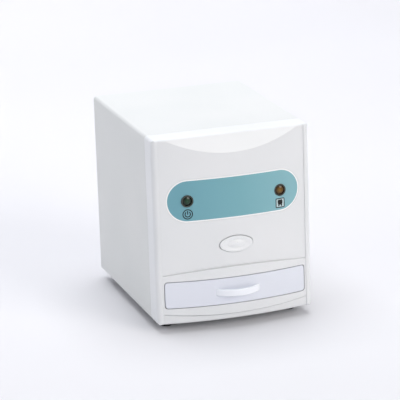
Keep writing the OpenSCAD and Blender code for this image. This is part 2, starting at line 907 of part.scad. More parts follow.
// Button cap: a rim, a dish and a dome in it, over a hollow skirt, a keeper flange and a stem
module button_cap() {
    cap_y = face_y - cap_proud;
    color("#e9eaee") placed() translate([0, 0, button_z]) {
        difference() {
            intersection() {
                along_y(pad_y, flange_y + flange_t) oval(button_w, button_h);
                drum(face_r + cap_proud, cap_y, -button_h, button_h);
            }
            translate([0, cap_y + dish_d - dish_big, 0]) round_disc(dish_big, dish_small);
            difference() {
                along_y(pad_y, flange_y + flange_t + over) oval(button_w - 2 * cap_wall, button_h - 2 * cap_wall);
                block([-button_w, button_w], [pad_y - over, face_y + cap_t], [-button_h, button_h]);
            }
        }
        intersection() {
            translate([0, cap_y + dish_d - dome_rise + dome_big, 0]) round_disc(dome_big, dome_small);
            block([-button_w, button_w], [pad_y - over, face_y + (cap_t + dish_d) / 2], [-button_h, button_h]);
        }
        along_y(flange_y, flange_y + flange_t) difference() {
            oval(button_w + 2 * flange_w, button_h + 2 * flange_w);
            oval(button_w - 2 * cap_wall, button_h - 2 * cap_wall);
        }
        rod_y(stem_r, face_y + cap_t / 2, plunger_y - fit);
    }
}

// Drawer rail: a channel that holds the runner of the tray, on a foot along the floor
module rail() {
    along_y(rail_start, rail_end) polygon([
        [rail_x - rail_foot, floor_z], [rail_x + rail_t, floor_z],
        [rail_x + rail_t, runner_z + runner_h + slide_fit + rail_lip],
        [rail_x - runner_w + slide_fit, runner_z + runner_h + slide_fit + rail_lip],
        [rail_x - runner_w + slide_fit, runner_z + runner_h + slide_fit],
        [rail_x, runner_z + runner_h + slide_fit], [rail_x, runner_z - slide_fit],
        [rail_x - runner_w + slide_fit, runner_z - slide_fit],
        [rail_x - runner_w + slide_fit, runner_z - slide_fit - rail_lip],
        [rail_x, runner_z - slide_fit - rail_lip], [rail_x, floor_z + rail_t], [rail_x - rail_foot, floor_z + rail_t]
    ]);
}

module drilled_rail() {
    difference() {
        union() {
            rail();
            block([rail_x - runner_w + slide_fit, rail_x + rail_t], [stop_y - stop_l, stop_y],
                [nib_z - nib_lift - stop_sink, nib_z + nib_h]);
        }
        for (y = rail_ys) translate([rail_x - rail_screw_in, y, floor_z - over])
            cylinder(r = pilot_r, h = rail_t + 2 * over);
    }
}

module rail_left() {
    color("#8f9499") placed() mirror([1, 0, 0]) drilled_rail();
}

module rail_right() {
    color("#8f9499") placed() drilled_rail();
}

// Light box: an open tray on the floor, with a rim that carries the diffuser
module light_box() {
    color("#f2f2f0") placed() difference() {
        block([-box_w / 2, box_w / 2], [film_y - box_l / 2, film_y + box_l / 2], [floor_z, box_top - diffuser_t]);
        block([box_wall - box_w / 2, box_w / 2 - box_wall],
            [film_y - box_l / 2 + box_wall, film_y + box_l / 2 - box_wall], [floor_z + box_floor, box_top]);
    }
}

module light_board() {
    color("#e8e8e4") placed() {
        block([box_wall + light_gap - box_w / 2, box_w / 2 - box_wall - light_gap],
            [film_y - box_l / 2 + box_wall + light_gap, film_y + box_l / 2 - box_wall - light_gap],
            [floor_z + box_floor, floor_z + box_floor + light_t]);
        for (i = [0 : led_cols - 1], j = [0 : led_rows - 1])
            translate([(i - (led_cols - 1) / 2) * led_pitch, film_y + (j - (led_rows - 1) / 2) * led_pitch,
                floor_z + box_floor + light_t])
            translate([-led_w / 2, -led_w / 2, -led_h / 2]) cube([led_w, led_w, led_h * 3 / 2]);
    }
}

module diffuser_plate() {
    color("#fbfbf6") placed()
        block([-box_w / 2, box_w / 2], [film_y - box_l / 2, film_y + box_l / 2], [box_top - diffuser_t, box_top]);
}

// Camera frame: a bent sheet portal with two out-turned feet
module camera_frame() {
    color("#a9adb1") placed() difference() {
        translate([0, film_y - leg_w / 2, 0]) along_y(0, leg_w) {
            translate([-leg_x - sheet_t, bridge_z]) square([2 * (leg_x + sheet_t), sheet_t]);
            for (x = [0, 1]) mirror([x, 0]) {
                translate([leg_x, floor_z]) square([sheet_t, bridge_z + sheet_t - floor_z]);
                translate([leg_x, floor_z]) square([sheet_t + leg_foot, sheet_t]);
            }
        }
        translate([0, film_y, bridge_z - over]) cylinder(r = bridge_hole_r, h = sheet_t + 2 * over);
        for (p = camera_pts) translate([p[0], film_y + p[1], bridge_z - over])
            cylinder(r = pilot_r, h = sheet_t + 2 * over);
        for (x = [-1, 1], y = [-1, 1])
            translate([x * (leg_x + sheet_t + leg_hole_in), film_y + y * leg_hole_w / 2, floor_z - over])
            cylinder(r = pilot_r, h = sheet_t + 2 * over);
    }
}

// Light hood: a flange under the bridge, a neck round the lens and a cone down towards the film
module camera_hood() {
    neck_z = bridge_z - hood_neck;
    color("#232427") placed() translate([0, film_y, 0]) rotate_extrude() polygon([
        [hood_r, bridge_z], [hood_r + hood_flange, bridge_z], [hood_r + hood_flange, bridge_z - hood_t],
        [hood_r + hood_t, bridge_z - hood_t], [hood_r + hood_t, neck_z], [hood_low_r + hood_t, hood_z],
        [hood_low_r, hood_z], [hood_r, neck_z]
    ]);
}

module camera_board() {
    color("#1c5f8a") placed() translate([0, film_y, camera_z]) difference() {
        block([-camera_board_w / 2, camera_board_w / 2], [-camera_board_w / 2, camera_board_w / 2], [0, board_t]);
        for (p = camera_pts) translate([p[0], p[1], -over]) cylinder(r = hole_r, h = board_t + 2 * over);
    }
}

module camera_standoffs() {
    color("#c9a84a") placed() for (p = camera_pts) translate([p[0], film_y + p[1], bridge_z + sheet_t])
        difference() {
            cylinder(r = standoff_r, h = standoff_h);
            translate([0, 0, -over]) cylinder(r = pilot_r, h = standoff_h + 2 * over);
        }
}

module camera_screws() {
    color("#9a9da1") placed() for (p = camera_pts) translate([p[0], film_y + p[1], camera_z + board_t])
        rotate([180, 0, 0]) screw(board_t + standoff_h + sheet_t / 2);
}

module image_sensor() {
    color("#3a3d42") placed() translate([0, film_y, camera_z])
        block([-sensor_w / 2, sensor_w / 2], [-sensor_w / 2, sensor_w / 2], [-sensor_t, 0]);
}

module lens_holder() {
    color("#2b2c2f") placed() translate([0, film_y, camera_z]) difference() {
        union() {
            block([-holder_w / 2, holder_w / 2], [-holder_w / 2, holder_w / 2], [-holder_t, 0]);
            translate([0, 0, -holder_t - holder_l]) cylinder(r = barrel_r + holder_wall, h = holder_l + holder_t / 2);
        }
        block([-pocket_w / 2, pocket_w / 2], [-pocket_w / 2, pocket_w / 2], [-pocket_t, over]);
        translate([0, 0, -holder_t - holder_l - over]) cylinder(r = barrel_r + screw_fit, h = holder_l + holder_t);
    }
}

module lens_barrel() {
    color("#1d1e20") placed() translate([0, film_y, camera_z - holder_t - barrel_drop - barrel_l]) difference() {
        union() {
            cylinder(r = barrel_r, h = barrel_l);
            cylinder(r = barrel_rim_r, h = barrel_rim_l);
        }
        translate([0, 0, -over]) cylinder(r = barrel_bore, h = barrel_l + 2 * over);
        translate([0, 0, -over]) cylinder(r = barrel_bore + glass_seat, h = glass_seat + glass_l + over);
    }
}

module lens_glass() {
    glass_r = barrel_bore + glass_seat - screw_fit;
    color("#9fb6c9") placed() translate([0, film_y, camera_z - holder_t - barrel_drop - barrel_l + glass_seat])
        rotate_extrude() intersection() {
            square([glass_r, glass_l]);
            translate([0, glass_bulge_r]) circle(glass_bulge_r, $fn = arc_fn);
            translate([0, glass_l - glass_bulge_r]) circle(glass_bulge_r, $fn = arc_fn);
        }
}

module main_board() {
    color("#1f6b43") placed() difference() {
        block([-main_w / 2, main_w / 2], [main_y0, main_y1], [main_z, main_top]);
        for (p = main_pts) translate([p[0], p[1], main_z - over]) cylinder(r = hole_r, h = board_t + 2 * over);
    }
}

module board_standoffs() {
    color("#c9a84a") placed() for (p = main_pts) translate([p[0], p[1], floor_z]) difference() {
        cylinder(r = standoff_r, h = main_lift);
        translate([0, 0, -over]) cylinder(r = pilot_r, h = main_lift + 2 * over);
    }
}

module board_screws() {
    color("#9a9da1") placed() for (p = main_pts) translate([p[0], p[1], main_top])
        rotate([180, 0, 0]) screw(board_t + main_lift / 3);
}

module processor_chip() {
    color("#26282b") placed() translate([chip_x, main_y0 + chip_y, main_top])
        block([-chip_w / 2, chip_w / 2], [-chip_w / 2, chip_w / 2], [0, chip_t]);
}

module capacitors() {
    color("#6d7f99") placed() for (share = cap_can_shares)
        translate([share * main_w / 2, main_y0 + cap_can_y, main_top])
        cylinder(r = cap_can_r, h = cap_can_h);
}

// Slotted sensor that the flag at the rear of the tray enters when the drawer is shut
module drawer_sensor() {
    color("#222326") placed() translate([flag_x, main_y0, main_top]) difference() {
        block([-sensor_slot / 2 - sensor_post, sensor_slot / 2 + sensor_post], [0, sensor_l], [0, sensor_h]);
        block([-sensor_slot / 2, sensor_slot / 2], [-over, sensor_l + over], [sensor_base, sensor_h + over]);
    }
}

// Square data socket with its keyed mouth and tongue
module usb_socket() {
    y1 = rear_y + socket_proud;
    color("#b4b7bb") placed() translate([usb_x, 0, main_top]) {
        difference() {
            block([-usb_w / 2, usb_w / 2], [y1 - usb_l, y1], [0, usb_h]);
            along_y(y1 - usb_cut_l, y1 + over) translate([0, usb_h / 2]) polygon([
                [-usb_cut_w / 2, -usb_cut_h / 2], [usb_cut_w / 2, -usb_cut_h / 2],
                [usb_cut_w / 2, usb_cut_h / 2 - usb_corner], [usb_cut_w / 2 - usb_corner, usb_cut_h / 2],
                [usb_corner - usb_cut_w / 2, usb_cut_h / 2], [-usb_cut_w / 2, usb_cut_h / 2 - usb_corner]
            ]);
        }
        block([-usb_tongue_w / 2, usb_tongue_w / 2], [y1 - usb_cut_l - over, y1 - over],
            [(usb_h - usb_tongue_h) / 2, (usb_h + usb_tongue_h) / 2]);
    }
}

module power_jack() {
    y1 = rear_y + socket_proud;
    color("#232427") placed() translate([jack_x, 0, main_top]) {
        difference() {
            block([-jack_w / 2, jack_w / 2], [y1 - jack_l, y1], [0, jack_h]);
            translate([0, 0, jack_h / 2]) rod_y(jack_r, y1 - jack_cut, y1 + over);
        }
        translate([0, 0, jack_h / 2]) rod_y(jack_pin_r, y1 - jack_cut - over, y1 - over);
    }
}

// Power switch: a housing with a flange on the rear panel, and the key that rocks in it
module rocker_body() {
    color("#1e1f21") placed() translate([rocker_x, 0, rocker_z]) difference() {
        union() {
            along_y(rear_y - rocker_l, rear_y + rocker_flange_t) square([rocker_w, rocker_h], center = true);
            along_y(rear_y, rear_y + rocker_flange_t)
                rounded(rocker_w + 2 * rocker_flange, rocker_h + 2 * rocker_flange, rocker_flange);
        }
        along_y(rear_y - rocker_l + rocker_wall, rear_y + rocker_flange_t + over)
            square([rocker_w - 2 * rocker_wall, rocker_h - 2 * rocker_wall], center = true);
        translate([-rocker_w / 2 - over, rear_y - rocker_axis, 0]) rotate([0, 90, 0])
            cylinder(r = rocker_pin_r + pivot_fit, h = rocker_w + 2 * over);
    }
}

module rocker_key() {
    key_h = rocker_h / 2 - rocker_wall - rocker_gap;
    tip_h = key_h / cos(rocker_tilt) - rocker_lip * tan(rocker_tilt);
    key_w = rocker_w - 2 * rocker_wall - 2 * rocker_gap;
    color("#2c2e31") placed() translate([rocker_x, rear_y - rocker_axis, rocker_z]) rotate([rocker_tilt, 0, 0]) {
        along_x(key_w) polygon([
            [-rocker_lip, -rocker_lip], [0, -tip_h], [rocker_axis + rocker_flange_t, -tip_h],
            [rocker_axis + rocker_flange_t / 2, 0], [rocker_axis + rocker_flange_t, tip_h], [0, tip_h],
            [-rocker_lip, rocker_lip]
        ]);
        rotate([0, 90, 0]) translate([0, 0, -key_w / 2 - rocker_pin_l])
            cylinder(r = rocker_pin_r, h = key_w + 2 * rocker_pin_l);
    }
}

// Drawer front: a curved plate with a rim behind it, two screw bosses and the slots of the handle
module drawer_front() {
    color("#d9dfec") placed() difference() {
        union() {
            difference() {
                front_slab(0, 0);
                front_slab(front_rim, front_t);
            }
            intersection() {
                both() translate([front_boss_x, 0, drawer_z]) rod_y(front_boss_r, pad_y, front_back);
                drum(pad_r - front_t / 2, pad_y + front_t / 2, 0, body_h);
            }
        }
        both() translate([front_boss_x, 0, drawer_z]) rod_y(pilot_r, front_boss_y, front_back + over);
        both() block([tenon_x - tenon_w / 2 - fit, tenon_x + tenon_w / 2 + fit], [pad_y - over, front_back],
            [handle_z - tenon_h / 2 - fit, handle_z + tenon_h / 2 + fit]);
    }
}

module front_slab(inset, depth) {
    intersection() {
        along_y(pad_y - over, depth > 0 ? front_back + over : front_back) translate([0, drawer_z])
            rounded(drawer_w - 2 * inset, drawer_h - 2 * inset, drawer_r - inset + fit);
        drum(pad_r - depth, pad_y + depth, 0, body_h);
    }
}

// Bow handle: a rounded bar turned about an upright axis, cut to the drawer front, with two tenons
module drawer_handle() {
    color("#eaeef6") placed() {
        difference() {
            translate([0, handle_y, handle_z]) rotate_extrude($fn = arc_fn)
                translate([handle_r - handle_t / 2, 0]) rounded(handle_t, handle_h, handle_edge);
            drum(pad_r + handle_seat, pad_y - handle_seat, 0, body_h);
            block([-body_w, body_w], [0, body_d], [0, body_h]);
        }
        both() block([tenon_x - tenon_w / 2, tenon_x + tenon_w / 2],
            [pad_y - tenon_front, pad_y - tenon_front + tenon_l], [handle_z - tenon_h / 2, handle_z + tenon_h / 2]);
    }
}

// Drawer tray: floor with a window opening, walls, two runners, two stop nibs and the flag of the sensor
module drawer_tray() {
    color("#e3e6ea") placed() difference() {
        union() {
            block([-tray_x, tray_x], [tray_y, tray_end], [tray_z, tray_top]);
            both() block([tray_x - tray_wall / 2, tray_x + runner_w], [tray_y, tray_end],
                [runner_z, runner_z + runner_h]);
            both() block([tray_x - tray_wall / 2, tray_x + nib_w], [tray_end - nib_l, tray_end],
                [nib_z, nib_z + nib_h]);
            block([flag_x - flag_t / 2, flag_x + flag_t / 2], [tray_end - tray_wall, tray_end + flag_l],
                [tray_z, tray_z + flag_h]);
        }
        block([tray_wall - tray_x, tray_x - tray_wall], [tray_y + tray_wall, tray_end - tray_wall],
            [tray_z + tray_floor, tray_top + over]);
        window_cut(window_t + over, 0);
        window_cut(tray_floor + over, window_ledge);
        both() translate([front_boss_x, 0, drawer_z]) rod_y(hole_r, tray_y - over, tray_y + tray_wall + over);
    }
}

// Opening for the window, down from just above the tray's floor
module window_cut(depth, ledge) {
    w = window_w / 2 - ledge + fit;
    l = window_l / 2 - ledge + fit;
    block([-w, w], [film_y - l, film_y + l], [tray_z + tray_floor - depth, tray_z + tray_floor + over]);
}

module film_window() {
    color("#dfe9ee") placed() block([-window_w / 2, window_w / 2],
        [film_y - window_l / 2, film_y + window_l / 2], [tray_z + tray_floor - window_t, tray_z + tray_floor]);
}

// Film frame: a plate with a pocket for one film, an opening under it and two finger notches
module film_frame() {
    frame_z = tray_z + tray_floor;
    pocket_x = film_l / 2 + film_play;
    pocket_y = film_w / 2 + film_play;
    frame_x = tray_x - tray_wall - slide_fit;
    color("#3a3e44") placed() difference() {
        block([-frame_x, frame_x], [film_y - frame_l / 2, film_y + frame_l / 2], [frame_z, frame_z + frame_h]);
        block([-pocket_x, pocket_x], [film_y - pocket_y, film_y + pocket_y],
            [frame_z + frame_h - film_d, frame_z + frame_h + over]);
        block([film_rest - pocket_x, pocket_x - film_rest], [film_y + film_rest - pocket_y, film_y + pocket_y - film_rest],
            [frame_z - over, frame_z + frame_h]);
        for (x = [-1, 1]) translate([x * pocket_x, film_y, frame_z + frame_h / 3]) cylinder(r = notch_r, h = frame_h);
    }
}

module drawer_screws() {
    color("#9a9da1") placed() both() translate([front_boss_x, tray_y + tray_wall, drawer_z])
        rotate([90, 0, 0]) screw(tray_wall + screw_l / 2);
}

front_bezel();
case_shell();
rear_panel();
base_plate();
foot(-foot_x, foot_ys[0]);  // foot_front_left
foot(foot_x, foot_ys[0]);  // foot_front_right
foot(-foot_x, foot_ys[1]);  // foot_rear_left
foot(foot_x, foot_ys[1]);  // foot_rear_right
foot_screws();
plate_screws();
rear_screws();
indicator_label();
power_lamp();
film_lamp();
lamp_rings();
front_board();
front_board_screws();
switch_body();
switch_plunger();
button_cap();
rail_left();
rail_right();
light_box();
light_board();
diffuser_plate();
camera_frame();
camera_hood();
camera_board();
camera_standoffs();
camera_screws();
image_sensor();
lens_holder();
lens_barrel();
lens_glass();
main_board();
board_standoffs();
board_screws();
processor_chip();
capacitors();
drawer_sensor();
usb_socket();
power_jack();
rocker_body();
rocker_key();
drawer_front();
drawer_tray();
drawer_handle();
film_frame();
film_window();
drawer_screws();
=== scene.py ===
import math

import bmesh
import bpy
import numpy as np
from mathutils import Matrix, Vector


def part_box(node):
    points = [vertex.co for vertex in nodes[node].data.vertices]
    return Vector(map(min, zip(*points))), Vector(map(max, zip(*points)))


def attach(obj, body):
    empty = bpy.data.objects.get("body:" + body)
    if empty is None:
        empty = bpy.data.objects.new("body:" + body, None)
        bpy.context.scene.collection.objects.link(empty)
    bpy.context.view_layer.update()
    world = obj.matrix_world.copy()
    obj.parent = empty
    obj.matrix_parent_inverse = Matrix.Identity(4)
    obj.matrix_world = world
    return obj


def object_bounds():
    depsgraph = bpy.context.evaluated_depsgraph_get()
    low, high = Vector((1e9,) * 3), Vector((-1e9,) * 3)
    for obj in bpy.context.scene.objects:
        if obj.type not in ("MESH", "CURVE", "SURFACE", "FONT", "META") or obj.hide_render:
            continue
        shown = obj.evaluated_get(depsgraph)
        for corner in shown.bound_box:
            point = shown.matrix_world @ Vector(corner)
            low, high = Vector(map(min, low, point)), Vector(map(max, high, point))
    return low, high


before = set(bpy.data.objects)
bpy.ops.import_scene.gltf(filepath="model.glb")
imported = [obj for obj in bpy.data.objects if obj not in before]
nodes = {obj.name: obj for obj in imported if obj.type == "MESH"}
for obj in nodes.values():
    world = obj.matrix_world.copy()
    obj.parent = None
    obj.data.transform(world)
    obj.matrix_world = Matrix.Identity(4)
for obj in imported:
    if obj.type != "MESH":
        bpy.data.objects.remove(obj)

# Looks of a desktop reader for dental x-ray films. Metres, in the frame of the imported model:
# X to the right, -Y to the front, Z up, the feet on z = 0.

MM = 0.001
UM = 1e-6
cad_low, cad_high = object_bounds()

# Places read from the frame
label_low, label_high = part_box("indicator_label")
green_low, green_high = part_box("power_lamp")
amber_low, amber_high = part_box("film_lamp")
rocker_low, rocker_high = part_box("rocker_body")
label_z = (label_low.z + label_high.z) / 2
label_h = label_high.z - label_low.z
label_w = label_high.x - label_low.x
green_x = (green_low.x + green_high.x) / 2
amber_x = (amber_low.x + amber_high.x) / 2

# The face is part of an upright drum: half its width, and how far its middle stands out
FACE_HALF = 66 * MM
FACE_BULGE = 7.1 * MM
FACE_RADIUS = (FACE_HALF ** 2 + FACE_BULGE ** 2) / (2 * FACE_BULGE)
face_y = label_low.y

# Refractive indices: textbook values, a little lower for the lamps' epoxy and the ink, which look duller
IOR_ABS = 1.54
IOR_RUBBER = 1.52
IOR_SOLDER_MASK = 1.5
IOR_ACRYLIC = 1.49
IOR_GLASS = 1.52
IOR_EPOXY = 1.45
IOR_POLYCARBONATE = 1.58
IOR_INK = 1.45

# Radius that a sharp edge shows, and how many rays the shader's rounding takes
MOULDED_EDGE = 0.25 * MM
METAL_EDGE = 0.15 * MM
EDGE_SAMPLES = 4

# Moulded plastic: how far apart the melt's colour drifts and the gloss changes. The gloss is drawn coarser
# than real, so that it shows.
FLOW_MM = 70
GLOSS_MM = 1.2

# Indicator lamps and the label's print
LAMP_R = 4.2 * MM
# The label's white margin is printed, and its width also paints the highlight along the label's recessed edge
MARGIN = 1.0 * MM
MARGIN_BLUR = 0.05 * MM


def linear(hex_colour):
    """An sRGB colour such as "#dfe3e6" as linear RGBA: each channel c is c / 12.92 up to 0.04045, and
    ((c + 0.055) / 1.055) ^ 2.4 above it."""
    channels = np.array([int(hex_colour[i:i + 2], 16) for i in (1, 3, 5)]) / 255
    curved = ((channels + 0.055) / 1.055) ** 2.4
    return (*np.where(channels <= 0.04045, channels / 12.92, curved).tolist(), 1.0)


def add(tree, kind, links=None, stops=(), **settings):
    """Adds a node. links sets its sockets, by name or number, to a value, to an output or to another node's
    first output. stops gives a colour ramp's places and sRGB colours, and settings are the node's own."""
    node = tree.nodes.new("ShaderNode" + kind)
    for name, value in settings.items():
        setattr(node, name, value)
    for socket, value in (links or {}).items():
        if isinstance(value, bpy.types.Node):
            value = value.outputs[0]
        if isinstance(value, bpy.types.NodeSocket):
            tree.links.new(value, node.inputs[socket])
        else:
            node.inputs[socket].default_value = value
    if stops:
        elements = node.color_ramp.elements
        while len(elements) < len(stops):
            elements.new(0.5)
        for element, (place, colour) in zip(elements, stops):
            element.position = place
            element.color = linear(colour)
    return node


def new_material(name):
    """An empty node material, its tree, and the piece's own coordinates in metres."""
    material = bpy.data.materials.new(name)
    material.use_nodes = True
    tree = material.node_tree
    tree.nodes.clear()
    return material, tree, add(tree, "TexCoord").outputs["Object"]


def finished(material, links):
    """Closes a material: its surface shader with the sockets given, and its output."""
    shader = add(material.node_tree, "BsdfPrincipled", links)
    add(material.node_tree, "OutputMaterial", {"Surface": shader})
    return material


def per_metre(size_mm):
    """A pattern's scale: how many lumps of size_mm go into a metre."""
    return 1 / (size_mm * MM)


def moulded_abs(name, shade, flow_shade, rough, grain_mm, grain_um):
    """Injection-moulded ABS: its colour drifts faintly where the melt flowed, its gloss changes between the
    two values of rough, and a spark-eroded mould leaves a grain of grain_mm across and grain_um deep."""
    material, tree, place = new_material(name)
    flow = add(tree, "TexNoise", {"Vector": place, "Scale": per_metre(FLOW_MM), "Detail": 1.0})
    colour = add(tree, "ValToRGB", {"Fac": flow}, stops=[(0.3, flow_shade), (0.7, shade)])
    patches = add(tree, "TexNoise", {"Vector": place, "Scale": per_metre(GLOSS_MM), "Detail": 3.0})
    gloss = add(tree, "MapRange", {"Value": patches, "From Min": 0.3, "From Max": 0.7, "To Min": rough[0],
                                   "To Max": rough[1]})
    edge = add(tree, "Bevel", {"Radius": MOULDED_EDGE}, samples=EDGE_SAMPLES)
    grain = add(tree, "TexNoise", {"Vector": place, "Scale": per_metre(grain_mm), "Detail": 2.0,
                                   "Roughness": 0.6})
    bump = add(tree, "Bump", {"Height": grain, "Strength": 1.0, "Distance": grain_um * UM, "Normal": edge})
    return finished(material, {"Base Color": colour, "Roughness": gloss, "Normal": bump, "IOR": IOR_ABS})


# White ABS of the front, moulded in a fine-polished tool: satin gloss, hardly any grain
bezel_abs = moulded_abs("ABS_white_satin_moulded", "#e6e8ea", "#e2e5e7", rough=(0.30, 0.38), grain_mm=0.5,
                        grain_um=6)
# White ABS of the button, the same tool finish, a little brighter
button_abs = moulded_abs("ABS_white_button_moulded", "#ebedef", "#e8ebed", rough=(0.26, 0.34), grain_mm=0.5,
                         grain_um=4)
# Grey-white ABS of the case, spark-eroded tool: matter, with a fine even grain
case_abs = moulded_abs("ABS_grey_white_textured_moulded", "#dddfde", "#d9dcdb", rough=(0.42, 0.52),
                       grain_mm=0.7, grain_um=16)
# Light grey ABS of the rear panel and the base plate, from a slightly coarser tool
panel_abs = moulded_abs("ABS_light_grey_textured_moulded", "#cfd3d4", "#cacecf", rough=(0.46, 0.56),
                        grain_mm=0.7, grain_um=18)
# Bluish white ABS of the drawer
drawer_abs = moulded_abs("ABS_bluish_white_moulded", "#e3e7f0", "#e0e4ef", rough=(0.30, 0.34), grain_mm=0.5,
                         grain_um=4)
# The handle's ABS, the same resin in a polished tool: glossier and paler
handle_abs = moulded_abs("ABS_bluish_white_polished", "#f6f9ff", "#f3f7fe", rough=(0.22, 0.26), grain_mm=0.5,
                         grain_um=2)
# White ABS of the light box
light_box_abs = moulded_abs("ABS_white_light_box_moulded", "#f2f2ee", "#eeeeea", rough=(0.40, 0.48),
                            grain_mm=0.6, grain_um=10)
# Dark grey ABS of the film frame, textured so that films slide on it
frame_abs = moulded_abs("ABS_dark_grey_textured_moulded", "#44484f", "#3f4349", rough=(0.48, 0.58),
                        grain_mm=0.6, grain_um=20)
# Smoke-grey ABS of the lamps' rings
ring_abs = moulded_abs("ABS_smoke_grey_moulded", "#3b3f38", "#363a33", rough=(0.34, 0.40), grain_mm=0.5,
                       grain_um=6)
# Black polyamide of sockets, switches and camera parts, which moulds and shines as the ABS does
black_nylon = moulded_abs("PA_black_moulded", "#232427", "#1e1f22", rough=(0.38, 0.48), grain_mm=0.5,
                          grain_um=10)


def foot_rubber():
    """Nitrile rubber, moulded: matt, greyed by dust in patches of 4 mm, with a soft grain of 0.6 mm."""
    material, tree, place = new_material("NBR_rubber_moulded")
    dust = add(tree, "TexNoise", {"Vector": place, "Scale": per_metre(4), "Detail": 4.0})
    colour = add(tree, "ValToRGB", {"Fac": dust}, stops=[(0.35, "#242426"), (0.75, "#3a3a3b")])
    grain = add(tree, "TexNoise", {"Vector": place, "Scale": per_metre(0.6), "Detail": 3.0})
    bump = add(tree, "Bump", {"Height": grain, "Strength": 1.0, "Distance": 30 * UM})
    return finished(material, {"Base Color": colour, "Roughness": 0.72, "Normal": bump, "IOR": IOR_RUBBER})


def bare_metal(name, shade, dark_shade, rough, patch_mm):
    """Plated, drawn or turned metal: its tone changes over 6 mm, its gloss over patch_mm between the two
    values of rough, and a fine waviness of 0.4 mm across and 4 um deep breaks the reflections."""
    material, tree, place = new_material(name)
    tone = add(tree, "TexNoise", {"Vector": place, "Scale": per_metre(6), "Detail": 3.0})
    colour = add(tree, "ValToRGB", {"Fac": tone}, stops=[(0.3, dark_shade), (0.7, shade)])
    patches = add(tree, "TexNoise", {"Vector": place, "Scale": per_metre(patch_mm), "Detail": 4.0})
    gloss = add(tree, "MapRange", {"Value": patches, "From Min": 0.3, "From Max": 0.7, "To Min": rough[0],
                                   "To Max": rough[1]})
    edge = add(tree, "Bevel", {"Radius": METAL_EDGE}, samples=EDGE_SAMPLES)
    waves = add(tree, "TexNoise", {"Vector": place, "Scale": per_metre(0.4), "Detail": 2.0})
    bump = add(tree, "Bump", {"Height": waves, "Strength": 1.0, "Distance": 4 * UM, "Normal": edge})
    return finished(material, {"Base Color": colour, "Metallic": 1.0, "Roughness": gloss, "Normal": bump})


# Zinc-plated sheet of the rails and the camera frame: pale, spangled in soft patches
zinc_sheet = bare_metal("steel_sheet_zinc_plated", "#c3c7c9", "#b2b6b9", rough=(0.34, 0.5), patch_mm=3)
# Nickel-plated screws: warm grey, with a soft gloss
nickel_screw = bare_metal("steel_screw_nickel_plated", "#bdbcb8", "#a9a8a5", rough=(0.22, 0.36), patch_mm=1)
# Nickel-plated shell of the data socket, brighter than the screws
nickel_shell = bare_metal("steel_shell_nickel_plated", "#c9cacb", "#bcbdbf", rough=(0.2, 0.32), patch_mm=2)
# Turned brass of the standoffs
turned_brass = bare_metal("brass_turned", "#d1b46a", "#c0a159", rough=(0.2, 0.34), patch_mm=0.6)
# Drawn aluminium of the capacitors' cans
drawn_aluminium = bare_metal("aluminium_can_drawn", "#d2d3d4", "#c3c4c6", rough=(0.24, 0.36), patch_mm=0.8)


def solder_mask(name, mask, copper, track_mm):
    """Glass-fibre board under solder mask: glossy, with copper tracks 30 um high that show lighter."""
    material, tree, place = new_material(name)
    tracks = add(tree, "TexBrick", {"Vector": place, "Scale": per_metre(track_mm), "Mortar Size": 0.12,
                                    "Color1": (0, 0, 0, 1), "Color2": (0, 0, 0, 1), "Mortar": (1, 1, 1, 1),
                                    "Row Height": 0.25, "Brick Width": 1.6}).outputs["Fac"]
    colour = add(tree, "ValToRGB", {"Fac": tracks}, stops=[(0.3, mask), (0.7, copper)])
    bump = add(tree, "Bump", {"Height": tracks, "Strength": 1.0, "Distance": 30 * UM})
    return finished(material, {"Base Color": colour, "Roughness": 0.22, "Normal": bump,
                               "IOR": IOR_SOLDER_MASK})


board_green = solder_mask("board_green_solder_mask", "#14573a", "#2f7d55", track_mm=5)
board_blue = solder_mask("board_blue_solder_mask", "#15507a", "#3176a3", track_mm=4)


def opal_acrylic():
    """Cast opal acrylic: milky white that lets light through, with a smooth gloss."""
    material, tree, place = new_material("PMMA_opal_cast")
    clouds = add(tree, "TexNoise", {"Vector": place, "Scale": per_metre(30), "Detail": 1.0})
    colour = add(tree, "ValToRGB", {"Fac": clouds}, stops=[(0.3, "#f4f4ef"), (0.7, "#fafaf6")])
    return finished(material, {"Base Color": colour, "Roughness": 0.25, "IOR": IOR_ACRYLIC,
                               "Subsurface Weight": 0.3, "Subsurface Scale": 2 * MM})


def clear_glass(name, tint, dusty_tint):
    """Polished glass: clear and smooth, its faint tint and its gloss broken by a little dust."""
    material, tree, place = new_material(name)
    dust = add(tree, "TexNoise", {"Vector": place, "Scale": per_metre(1.5), "Detail": 5.0, "Roughness": 0.7})
    colour = add(tree, "ValToRGB", {"Fac": dust}, stops=[(0.6, tint), (0.8, dusty_tint)])
    gloss = add(tree, "MapRange", {"Value": dust, "From Min": 0.5, "From Max": 0.8, "To Min": 0.02,
                                   "To Max": 0.14})
    return finished(material, {"Base Color": colour, "Roughness": gloss, "IOR": IOR_GLASS,
                               "Transmission Weight": 1.0})


def lamp_resin(name, centre_x, rim, middle):
    """Epoxy of a lamp that is off: a dark tinted gloss, painted lighter in the middle: partly the die's cup
    seen through the resin, partly a painted highlight.
    """
    material, tree, place = new_material(name)
    from_middle = add(tree, "VectorMath", {0: place, 1: (centre_x, 0, label_z)}, operation="SUBTRACT")
    parts = add(tree, "SeparateXYZ", {"Vector": from_middle})
    flat = add(tree, "CombineXYZ", {"X": parts.outputs["X"], "Y": parts.outputs["Z"]})
    distance = add(tree, "VectorMath", {0: flat}, operation="LENGTH").outputs["Value"]
    share = add(tree, "MapRange", {"Value": distance, "From Min": 0.0, "From Max": LAMP_R})
    # Painted highlight: lighter in the middle over the die's cup, darker towards the rim
    colour = add(tree, "ValToRGB", {"Fac": share}, stops=[(0.1, middle), (0.95, rim)])
    waves = add(tree, "TexNoise", {"Vector": place, "Scale": per_metre(1.2), "Detail": 1.0})
    bump = add(tree, "Bump", {"Height": waves, "Strength": 1.0, "Distance": 6 * UM})
    return finished(material, {"Base Color": colour, "Roughness": 0.2, "Normal": bump, "IOR": IOR_EPOXY})


